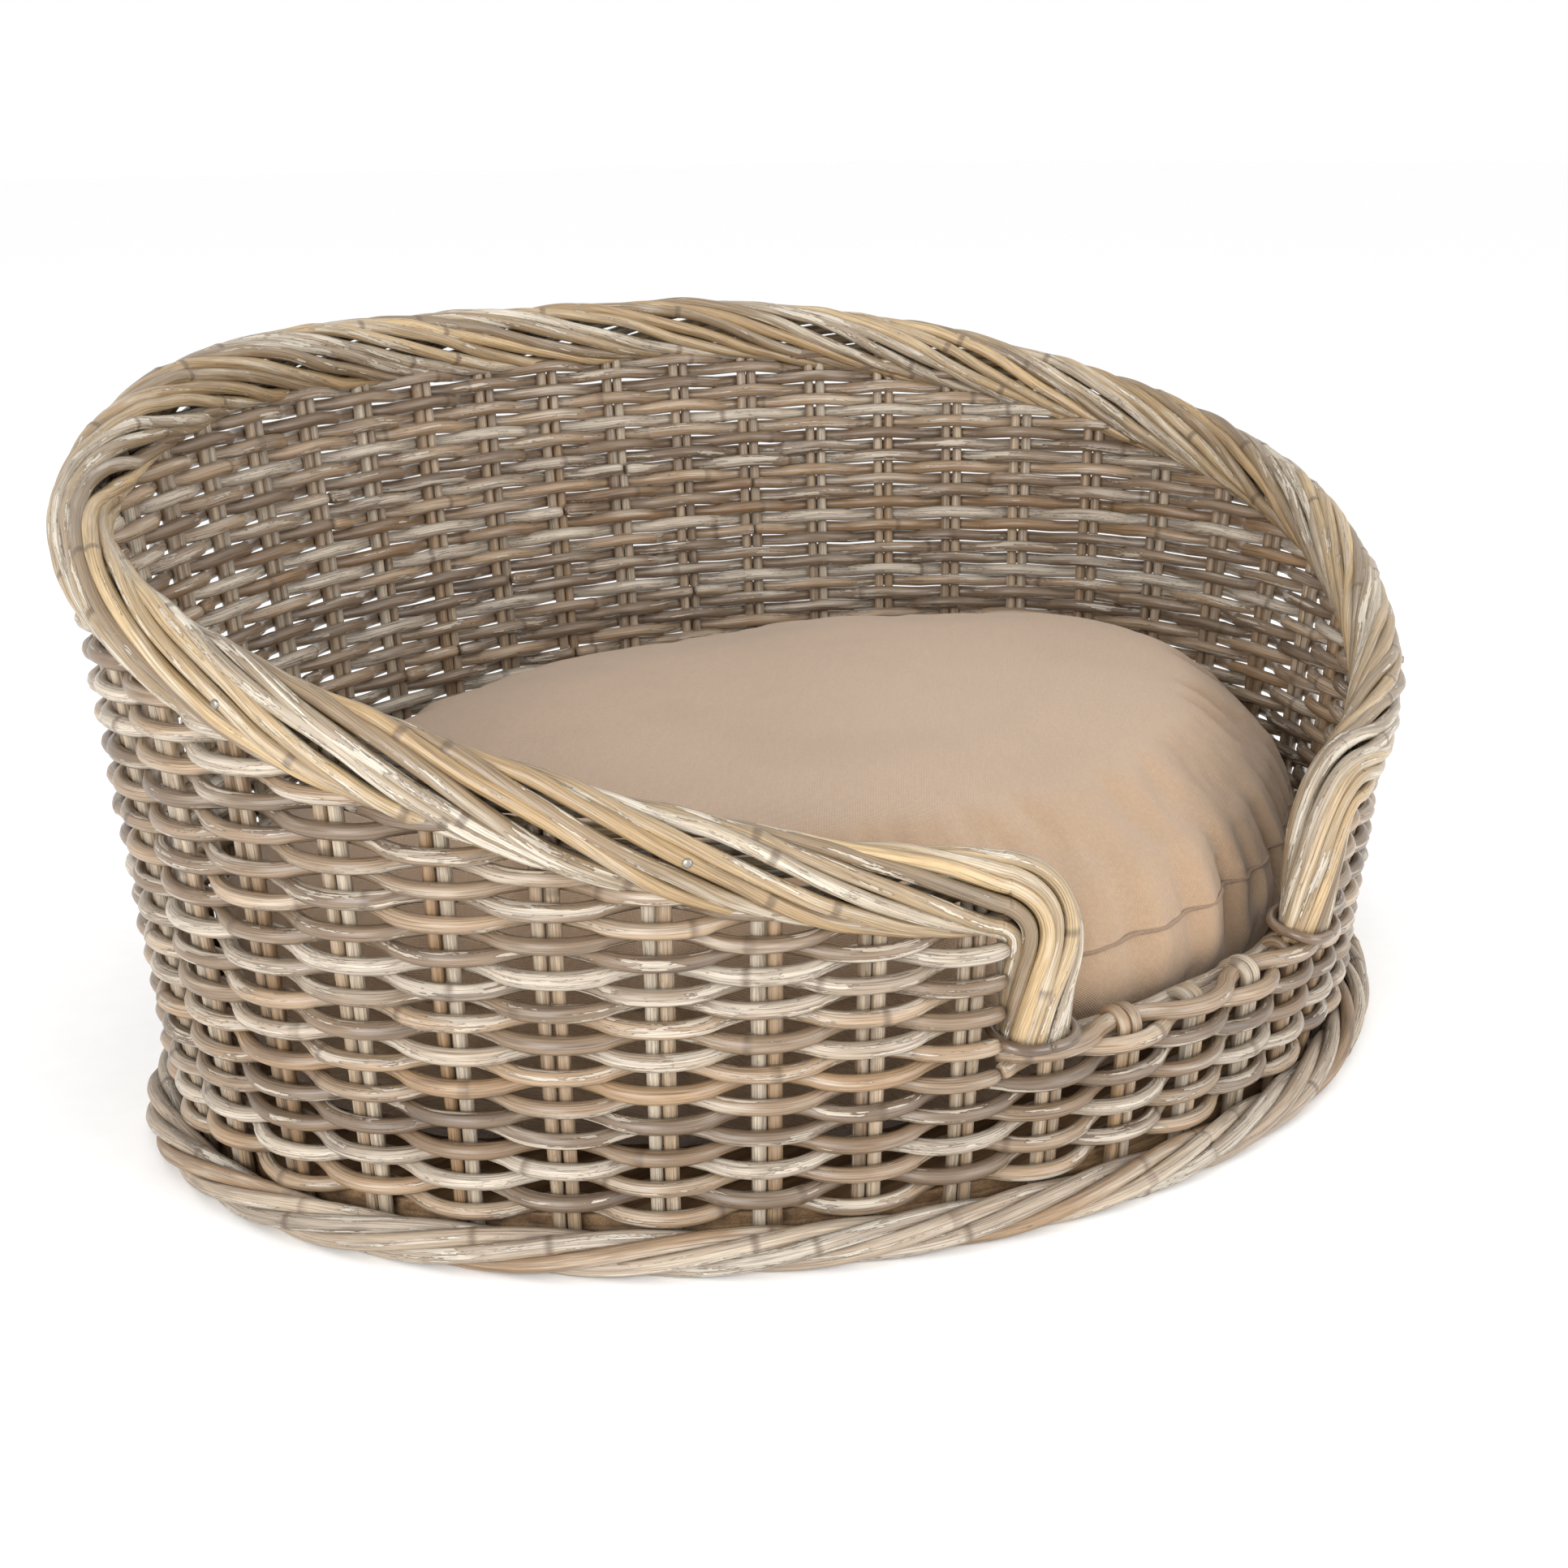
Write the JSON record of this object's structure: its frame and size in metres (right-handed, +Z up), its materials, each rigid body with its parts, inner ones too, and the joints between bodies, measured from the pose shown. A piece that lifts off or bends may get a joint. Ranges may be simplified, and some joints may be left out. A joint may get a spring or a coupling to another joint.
{
  "type": "wicker pet bed basket",
  "caption": "Oval rattan pet bed: woven wall on paired stakes, high at the back and low at the entry, twisted rim and foot borders, zipped lift-out cushion.",
  "frame": {"origin": "middle of the oval on the floor it stands on", "axes": "+Z up, long axis along X, entry facing -Y"},
  "size_m": [0.8832, 0.6992, 0.4247],
  "materials": {
    "rattan_weaver": "satin",
    "rattan_stake": "satin",
    "rattan_border": "satin",
    "cane_binding": "gloss",
    "base_wood": "matte",
    "nail_steel": "gloss",
    "cushion_twill": "matte",
    "fibre_filling": "matte",
    "zip_tape": "matte",
    "zip_metal": "satin"
  },
  "bodies": {
    "basket": {"base_board": "base_wood", "base_hoop": "base_wood", "border_nails": "nail_steel", "end_binding_left": "cane_binding", "end_binding_right": "cane_binding", "foot_border_strand_1": "rattan_border", "foot_border_strand_2": "rattan_border", "foot_border_strand_3": "rattan_border", "foot_border_strand_4": "rattan_border", "foot_border_strand_5": "rattan_border", "rim_border_strand_1": "rattan_border", "rim_border_strand_2": "rattan_border", "rim_border_strand_3": "rattan_border", "rim_border_strand_4": "rattan_border", "rim_border_strand_5": "rattan_border", "rim_border_strand_6": "rattan_border", "rim_border_strand_7": "rattan_border", "rim_border_strand_8": "rattan_border", "rim_hoop": "rattan_border", "sill_rod": "rattan_weaver", "sill_top_rod": "rattan_weaver", "stake_pairs_back": "rattan_stake", "stake_pairs_entry": "rattan_stake", "stake_pairs_left": "rattan_stake", "stake_pairs_right": "rattan_stake", "weave_courses_01_02": "rattan_weaver", "weave_courses_03_04": "rattan_weaver", "weave_courses_05_06": "rattan_weaver", "weave_courses_07_08": "rattan_weaver", "weave_courses_09_10": "rattan_weaver", "weave_courses_11_12": "rattan_weaver", "weave_courses_13_14": "rattan_weaver", "weave_courses_15_16": "rattan_weaver", "weave_courses_17_18": "rattan_weaver", "weave_courses_19_20": "rattan_weaver", "weave_courses_21_22": "rattan_weaver", "weave_courses_23_24": "rattan_weaver", "weave_courses_25_26": "rattan_weaver", "weave_courses_27_28": "rattan_weaver", "weave_courses_29_30": "rattan_weaver", "weave_courses_31_32": "rattan_weaver", "weave_courses_33_34": "rattan_weaver", "weave_courses_35_36": "rattan_weaver", "weave_courses_37_38": "rattan_weaver", "weave_courses_39_40": "rattan_weaver"},
    "cushion": {"cushion_cover": "cushion_twill", "cushion_filling": "fibre_filling", "zip_tape": "zip_tape"},
    "zip_slider": {"zip_slider": "zip_metal", "zip_puller": "zip_metal"}
  },
  "joints": [
    {"name": "cushion_lift", "type": "slide", "parent": "basket", "child": "cushion", "axis": [0, 0, 1], "range_m": [0, 0.45]},
    {"name": "zip_run", "type": "slide", "parent": "cushion", "child": "zip_slider", "axis": [1, 0, 0], "range_m": [0, 0.42]}
  ]
}
